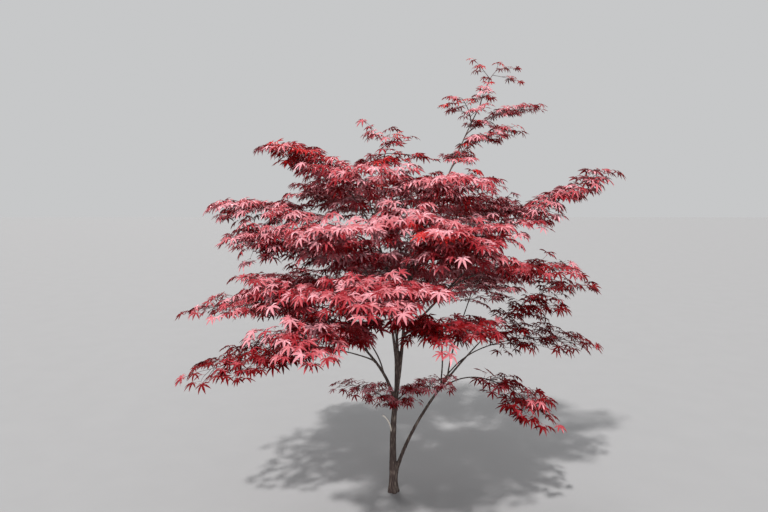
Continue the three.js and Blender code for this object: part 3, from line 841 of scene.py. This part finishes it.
# Meshes from arrays
STRAIGHT = 0.1  # a line whose ends differ less in direction than this counts as straight


def joined(parts):
    """Several vertex and face arrays as one of each."""
    vertices = []
    faces = []
    count = 0
    for own_vertices, own_faces in parts:
        vertices.append(own_vertices)
        faces.append(own_faces + count)
        count += len(own_vertices)
    return np.concatenate(vertices), np.concatenate(faces)


def leaf_parts(chosen):
    """The vertices and faces of several leaves, shape by shape."""
    for shape, (points, triangles) in enumerate(BLADES):
        own = [leaf for leaf in chosen if leaf.shape == shape]
        if not own:
            continue
        base = np.array([leaf.base for leaf in own])[:, None]
        ahead = np.array([leaf.ahead for leaf in own])[:, None]
        normal = np.array([leaf.normal for leaf in own])[:, None]
        side = np.cross(normal, ahead)
        scale = np.array([BLADE * leaf.size for leaf in own])[:, None, None]
        droop = np.array([leaf.droop for leaf in own])[:, None, None]
        fold = np.array([leaf.fold for leaf in own])[:, None, None]
        x, y, raised = (points[:, i : i + 1] for i in range(3))
        away = x**2 + y**2
        placed = base + scale * (x * ahead + y * side + (fold * raised - droop * away) * normal)
        placed -= scale * HANG * droop * away * np.array(UP)
        firsts = len(points) * np.arange(len(own))
        yield placed.reshape(-1, 3), (firsts[:, None, None] + triangles).reshape(-1, 3)


def tube_arrays(points, radii, sides):
    """A closed tube along a line of points whose rings don't twist."""
    points = np.array(points)
    radii = np.array(radii, float)
    ahead = np.gradient(points, axis=0)
    ahead /= np.linalg.norm(ahead, axis=1)[:, None]
    across = np.cross(ahead[0], ahead[-1])
    if np.linalg.norm(across) < STRAIGHT:
        chord = points[-1] - points[0]
        across = np.cross(chord, np.eye(3)[np.argmin(np.abs(chord))])
    normal = across - (ahead @ across)[:, None] * ahead
    normal /= np.linalg.norm(normal, axis=1)[:, None]
    binormal = np.cross(ahead, normal)
    around = 2 * np.pi * np.arange(sides) / sides
    ring = np.cos(around)[:, None] * normal[:, None] + np.sin(around)[:, None] * binormal[:, None]
    vertices = (points[:, None] + radii[:, None, None] * ring).reshape(-1, 3)
    i, j = np.meshgrid(np.arange(len(points) - 1), np.arange(sides), indexing="ij")
    a = i * sides + j
    b = i * sides + (j + 1) % sides
    c = a + sides
    d = b + sides
    faces = [np.stack([a, b, d], -1).reshape(-1, 3), np.stack([a, d, c], -1).reshape(-1, 3)]
    last = len(vertices) - sides
    cap = np.arange(1, sides - 1)
    faces.append(np.stack([np.zeros_like(cap), cap + 1, cap], -1))
    faces.append(last + np.stack([np.zeros_like(cap), cap, cap + 1], -1))
    return vertices, np.concatenate(faces)


def tapered(first, last, count):
    return [first + (last - first) * i / count for i in range(count + 1)]


def make_piece(name, arrays, material):
    vertices, faces = arrays
    mesh = bpy.data.meshes.new(name)
    mesh.vertices.add(len(vertices))
    mesh.vertices.foreach_set("co", (vertices * METRES).astype(np.float32).ravel())
    mesh.loops.add(faces.size)
    mesh.loops.foreach_set("vertex_index", faces.astype(np.int32).ravel())
    mesh.polygons.add(len(faces))
    mesh.polygons.foreach_set("loop_start", np.arange(0, faces.size, 3, dtype=np.int32))
    mesh.update(calc_edges=True)
    mesh.validate()
    mesh.shade_smooth()
    mesh.materials.append(material)
    piece = bpy.data.objects.new(name, mesh)
    bpy.context.scene.collection.objects.link(piece)
    return piece


# Wood, its forks and its bark's relief
RING_STEP = 9
LEAST_RINGS = 6
TRUNK_SIDES = 24
LIMB_SIDES = 12
LIMB_STEPS = 80
FLARED_PART = 4  # the lowest of this many parts of the trunk is flared
COLLAR = 0.45  # how much thicker a limb is where it leaves its parent
COLLAR_REACH = 1.6  # how far along the limb that goes, as a share of the parent's radius
LEAST_COLLAR_REACH = 6
STUB_SIDES = 14
STUB_STEPS = 40
STUB_RINGS = 26
BROKEN_END = (-7, 2)  # how far the points of the stub's end stand back or out
VOXEL = 2.2
KEPT_FACES = 0.42
RELIEF = 0.045  # depth of the bark's relief, as a share of the wood's thickness
THICKNESS = ((0, 700, 2000), (26, 13, 5))  # of the wood in general, at three heights
STUB_RELIEF = 0.5
GROUND_LAYER = 1.5  # what is this near to the ground lies on it
BARK_NOISE = (  # each layer's grain across and along the wood, its place in the noise and its share
    (7, 60, 0, 0.9),
    (2.6, 16, 40, 0.5),
    (18, 30, 90, 0.7),
)


def flare(height, around):
    swell = ROOT_FLARE * math.exp(-height / ROOT_FLARE_HEIGHT)
    return 1 + swell * (1 + ROOT_LOBE_DEPTH * math.cos(ROOT_LOBES * around))


def trunk_arrays():
    """The trunk with its root flare, flat on the ground."""
    count = round(TRUNK_HEIGHT / RING_STEP)
    shares = [i / count for i in range(count + 1)]
    points = [trunk_point(share) for share in shares]
    vertices, faces = tube_arrays(points, [trunk_radius(share) for share in shares], TRUNK_SIDES)
    for i, share in enumerate(shares[: count // FLARED_PART]):
        centre = np.array(points[i])
        for j in range(i * TRUNK_SIDES, (i + 1) * TRUNK_SIDES):
            out = vertices[j] - centre
            vertices[j] = centre + out * flare(TRUNK_HEIGHT * share, math.atan2(out[1], out[0]))
    vertices[:TRUNK_SIDES, 2] = 0
    return vertices, faces


def limb_arrays(limb):
    """A limb with a collar that swells where it leaves its parent."""
    path = limb_path(limb, 0, limb.bare, LIMB_STEPS)
    count = max(LEAST_RINGS, round(path.length / RING_STEP))
    reach = COLLAR_REACH * radius_on(limb.parent, limb.at) + LEAST_COLLAR_REACH
    radii = []
    for i, radius in enumerate(tapered(limb.radius, LIMB_TIP_RADIUS, count)):
        along = path.length * i / count
        radii.append(radius * (1 + COLLAR * math.exp(-((along / reach) ** 2))))
    return tube_arrays([path.at(i / count) for i in range(count + 1)], radii, LIMB_SIDES)


def stub_arrays():
    """The dead stub, with a broken end."""
    path = limb_path(stub, 0, 1, STUB_STEPS)
    points = [path.at(i / STUB_RINGS) for i in range(STUB_RINGS + 1)]
    vertices, faces = tube_arrays(points, tapered(stub.radius, LIMB_TIP_RADIUS, STUB_RINGS), STUB_SIDES)
    draw = seeded(stub.seed)
    for j in range(len(vertices) - STUB_SIDES, len(vertices)):
        vertices[j] += np.array(path.ahead(1)) * pick(draw, BROKEN_END)
    return vertices, faces


def apply_modifier(piece, kind, **settings):
    modifier = piece.modifiers.new(kind.lower(), kind)
    for key, value in settings.items():
        setattr(modifier, key, value)
    evaluated = piece.evaluated_get(bpy.context.evaluated_depsgraph_get())
    mesh = bpy.data.meshes.new_from_object(evaluated)
    piece.modifiers.clear()
    old = piece.data
    piece.data = mesh
    bpy.data.meshes.remove(old)


def point_values(mesh, kind):
    """The places or normals of a mesh's points."""
    values = np.zeros(3 * len(mesh.vertices), np.float32)
    mesh.vertices.foreach_get(kind, values)
    return values.reshape(-1, 3)


def move_points(mesh, places):
    mesh.vertices.foreach_set("co", places.astype(np.float32).ravel())
    mesh.update()


def relief(x, y, z):
    """Height of the bark: long low ridges, finer ones on them, and knots."""
    height = 0
    for across, along, offset, share in BARK_NOISE:
        height += share * noise.noise(Vector((x / across, y / across, z / along)) + UP * offset)
    return height


def add_relief(piece, depth):
    """Moves each point in or out by the bark's height there, and keeps the foot on the ground."""
    places = point_values(piece.data, "co").astype(float) / METRES
    heights = np.array([relief(*place) for place in places])
    places += depth(places)[:, None] * heights[:, None] * point_values(piece.data, "normal")
    places[:, 2] = np.where(places[:, 2] < GROUND_LAYER, 0, places[:, 2])
    move_points(piece.data, places * METRES)


def wood_relief(places):
    """The relief's depth, which falls with height as the wood gets thinner."""
    return RELIEF * np.interp(places[:, 2], *THICKNESS)


def stub_relief(places):
    return np.full(len(places), STUB_RELIEF)


def keep_above_ground(piece):
    """Puts back on the ground what a modifier has moved just below it."""
    places = point_values(piece.data, "co")
    places[:, 2] = np.maximum(places[:, 2], 0)
    move_points(piece.data, places)


# Materials
EVEN = (1, 1, 1)
MIX_FIRST = 6  # the mix node's sockets for colours
MIX_SECOND = 7
MIX_RESULT = 2
LEAF_ROUGHNESS = 0.42
LEAF_SHEEN = (1, 0.86, 0.92, 1)


def grey(level):
    return (level,) * 3


def new_material(name, color, roughness):
    material = bpy.data.materials.new(name)
    material.use_nodes = True
    shader = material.node_tree.nodes["Principled BSDF"]
    shader.inputs["Base Color"].default_value = (*color, 1)
    shader.inputs["Roughness"].default_value = roughness
    return material, shader


def add_node(material, kind, links=(), **values):
    node = material.node_tree.nodes.new(kind)
    for key, value in values.items():
        if key in node.inputs:
            node.inputs[key].default_value = value
        else:
            setattr(node, key, value)
    for source, target in links:
        material.node_tree.links.new(source, node.inputs[target])
    return node


def stretched_noise(material, stretch, scale, detail):
    """A noise in the object's own space, stretched along an axis where its stretch is below 1."""
    place = add_node(material, "ShaderNodeTexCoord")
    mapping = add_node(material, "ShaderNodeMapping", [(place.outputs["Object"], "Vector")])
    mapping.inputs["Scale"].default_value = stretch
    return add_node(
        material, "ShaderNodeTexNoise", [(mapping.outputs["Vector"], "Vector")], Scale=scale, Detail=detail
    )


def ramp(material, source, stops):
    """Colours for the values of a source, each stop being its value and colour."""
    node = add_node(material, "ShaderNodeValToRGB", [(source, "Fac")])
    elements = node.color_ramp.elements
    while len(elements) < len(stops):
        elements.new(0.5)
    for element, (position, color) in zip(elements, stops):
        element.position = position
        element.color = (*color, 1)
    return node


def bump(material, shader, source, strength, distance):
    node = add_node(
        material, "ShaderNodeBump", [(source, "Height")], Strength=strength, Distance=distance
    )
    material.node_tree.links.new(node.outputs["Normal"], shader.inputs["Normal"])


def leaf_material(name, color, gloss):
    """One plain tint, with a fine grain in its gloss and surface."""
    material, shader = new_material(name, color, LEAF_ROUGHNESS)
    shader.inputs["Specular IOR Level"].default_value = gloss
    shader.inputs["Specular Tint"].default_value = LEAF_SHEEN
    veins = stretched_noise(material, EVEN, scale=900, detail=3)
    roughness = ramp(material, veins.outputs["Fac"], [(0.3, grey(0.36)), (0.7, grey(0.5))])
    material.node_tree.links.new(roughness.outputs["Color"], shader.inputs["Roughness"])
    bump(material, shader, veins.outputs["Fac"], strength=0.25, distance=0.0004)
    return material


def bark_material(name, dark, mid, pale, streaks):
    """Bark with an upright grain, and pale streaks where a coarser noise is above streaks, partly the
    bark's own grey and partly painted sunlight.
    """
    material, shader = new_material(name, mid, 0.8)
    fine = stretched_noise(material, (1, 1, 0.16), scale=170, detail=6)
    patches = stretched_noise(material, (1, 1, 0.3), scale=28, detail=4)
    base = ramp(material, fine.outputs["Fac"], [(0.32, dark), (0.55, mid), (0.72, pale)])
    # pale streaks: partly the bark's own grey, partly painted sunlight on it
    streaks_and_painted_sun = ramp(material, patches.outputs["Fac"], [(streaks, grey(0)), (streaks + 0.16, grey(1))])
    mix = add_node(material, "ShaderNodeMix", data_type="RGBA")
    links = material.node_tree.links
    links.new(streaks_and_painted_sun.outputs["Color"], mix.inputs["Factor"])
    links.new(base.outputs["Color"], mix.inputs[MIX_FIRST])
    mix.inputs[MIX_SECOND].default_value = (*pale, 1)
    links.new(mix.outputs[MIX_RESULT], shader.inputs["Base Color"])
    bump(material, shader, fine.outputs["Fac"], strength=0.5, distance=0.0015)
    return material


def twig_material(name, dark, light):
    """Smooth young bark, mottled in two tones."""
    material, shader = new_material(name, dark, 0.5)
    mottle = stretched_noise(material, EVEN, scale=60, detail=4)
    base = ramp(material, mottle.outputs["Fac"], [(0.35, dark), (0.65, light)])
    material.node_tree.links.new(base.outputs["Color"], shader.inputs["Base Color"])
    bump(material, shader, mottle.outputs["Fac"], strength=0.2, distance=0.0004)
    return material


bark = bark_material(
    "bark", dark=(0.022, 0.013, 0.011), mid=(0.060, 0.038, 0.032), pale=(0.21, 0.17, 0.14), streaks=0.58
)
# the dead wood's pale grey, made paler still as painted sunlight on the stub, which stands in shade
dead_bark = bark_material(
    "dead_bark", dark=(0.36, 0.31, 0.26), mid=(0.58, 0.53, 0.46), pale=(0.78, 0.73, 0.66), streaks=0.5
)
young_bark = twig_material("young_bark", dark=(0.035, 0.010, 0.012), light=(0.095, 0.030, 0.028))
stalk_red = twig_material("stalk_red", dark=(0.20, 0.012, 0.018), light=(0.34, 0.030, 0.035))

# Trunk and boughs
trunk_nodes = ["trunk"] + [limb.name + "_limb" for limb in leafy if limb.bare]
wood = make_piece(
    "trunk_and_boughs",
    joined([trunk_arrays()] + [limb_arrays(limb) for limb in leafy if limb.bare]),
    bark,
)
apply_modifier(wood, "REMESH", mode="VOXEL", voxel_size=VOXEL * METRES, use_smooth_shade=True)
apply_modifier(wood, "SMOOTH", factor=0.5, iterations=4)
add_relief(wood, wood_relief)
apply_modifier(wood, "DECIMATE", ratio=KEPT_FACES)
keep_above_ground(wood)
wood.data.shade_smooth()
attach(wood, "root")
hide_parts(*trunk_nodes)

# Dead stub
dead = make_piece("dead_stub_wood", stub_arrays(), dead_bark)
add_relief(dead, stub_relief)
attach(dead, "root")
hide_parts("dead_stub")

# Foliage
foliage_nodes = [limb.name + "_foliage" for limb in leafy]
for limb in leafy:
    grow_mass(limb)
deal_painted_light()


def twig_parts():
    for path, radius, tip_radius in twigs:
        radii = tapered(radius, tip_radius, len(path.points) - 1)
        yield tube_arrays(path.points, radii, 5 if radius > THICK_TWIG else 4)


def stalk_parts():
    for leaf in leaves:
        bend = leaf.place.lerp(leaf.base, 0.5) + UP * (STALK_BOW * STALK * leaf.size)
        radius = STALK_RADIUS * (1 + leaf.size) / 2
        points = [leaf.place, bend, leaf.base, leaf.base + leaf.ahead * STALK_IN_BLADE]
        yield tube_arrays(points, [radius * share for share in STALK_PROFILE], 3)


def add_foliage(name, arrays, material):
    piece = make_piece(name, arrays, material)
    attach(piece, "root")
    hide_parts(*foliage_nodes)
    return piece


add_foliage("fine_twigs", joined(twig_parts()), young_bark)
add_foliage("leaf_stalks", joined(stalk_parts()), stalk_red)
# one leaf material for each tint of painted light and shade, and one for scarlet
for tint, color in PAINTED_LIGHT_TINTS.items():
    chosen = [leaf for leaf in leaves if leaf.tint == tint]
    material = leaf_material("leaf_" + tint, color, GLOSS[tint])
    add_foliage("leaves_" + tint, joined(leaf_parts(chosen)), material).data.shade_flat()

# Floor
FLOOR_SIDE = 60  # metres
FLOOR_COLOR = (0.225, 0.226, 0.23)
FLOOR_DARK = (0.222, 0.224, 0.228)
FLOOR_LIGHT = (0.228, 0.23, 0.234)
corner = FLOOR_SIDE / 2
corners = [(-corner, -corner, 0), (corner, -corner, 0), (corner, corner, 0), (-corner, corner, 0)]
floor_mesh = bpy.data.meshes.new("floor")
floor_mesh.from_pydata(corners, [], [(0, 1, 2, 3)])
floor = bpy.data.objects.new("floor", floor_mesh)
bpy.context.scene.collection.objects.link(floor)
floor_material, floor_shader = new_material("floor", FLOOR_COLOR, 0.9)
floor_grain = stretched_noise(floor_material, EVEN, scale=4, detail=3)
floor_tone = ramp(floor_material, floor_grain.outputs["Fac"], [(0.3, FLOOR_DARK), (0.7, FLOOR_LIGHT)])
floor_material.node_tree.links.new(floor_tone.outputs["Color"], floor_shader.inputs["Base Color"])
floor_mesh.materials.append(floor_material)

# Light
SKY_COLOR = (0.92, 0.93, 0.94, 1)
SKY_STRENGTH = 0.62
world = bpy.data.worlds.new("studio")
world.use_nodes = True
world.node_tree.nodes["Background"].inputs["Color"].default_value = SKY_COLOR
world.node_tree.nodes["Background"].inputs["Strength"].default_value = SKY_STRENGTH
bpy.context.scene.world = world
bpy.context.scene.view_settings.view_transform = "Standard"


def add_light(name, towards, softness, strength, color):
    """A distant lamp, softer the wider its disc is, in degrees."""
    lamp = bpy.data.lights.new(name, "SUN")
    lamp.angle = math.radians(softness)
    lamp.energy = strength
    lamp.color = color
    holder = bpy.data.objects.new(name, lamp)
    holder.rotation_euler = towards.to_track_quat("Z", "Y").to_euler()
    bpy.context.scene.collection.objects.link(holder)


add_light("key", SUN, softness=3, strength=4.8, color=(1, 0.97, 0.95))
add_light("rim", Vector((-0.2, 0.7, 0.7)), softness=24, strength=1.4, color=(1, 0.98, 0.97))
add_light("fill", Vector((0.2, -0.9, 0.3)), softness=30, strength=0.8, color=(0.97, 0.98, 1))

# Camera
SENSOR = 36
PHOTO_WIDTH = 768
FOCAL_PIXELS = 620
CAMERA_PLACE = (-0.052, -3.30, 1.70)  # metres
CAMERA_DIP = 6.5  # degrees below level
camera_data = bpy.data.cameras.new("camera")
camera_data.sensor_width = SENSOR
camera_data.lens = FOCAL_PIXELS / PHOTO_WIDTH * SENSOR
camera = bpy.data.objects.new("camera", camera_data)
camera.location = CAMERA_PLACE
camera.rotation_euler = (math.radians(90 - CAMERA_DIP), 0, 0)
bpy.context.scene.collection.objects.link(camera)
bpy.context.scene.camera = camera
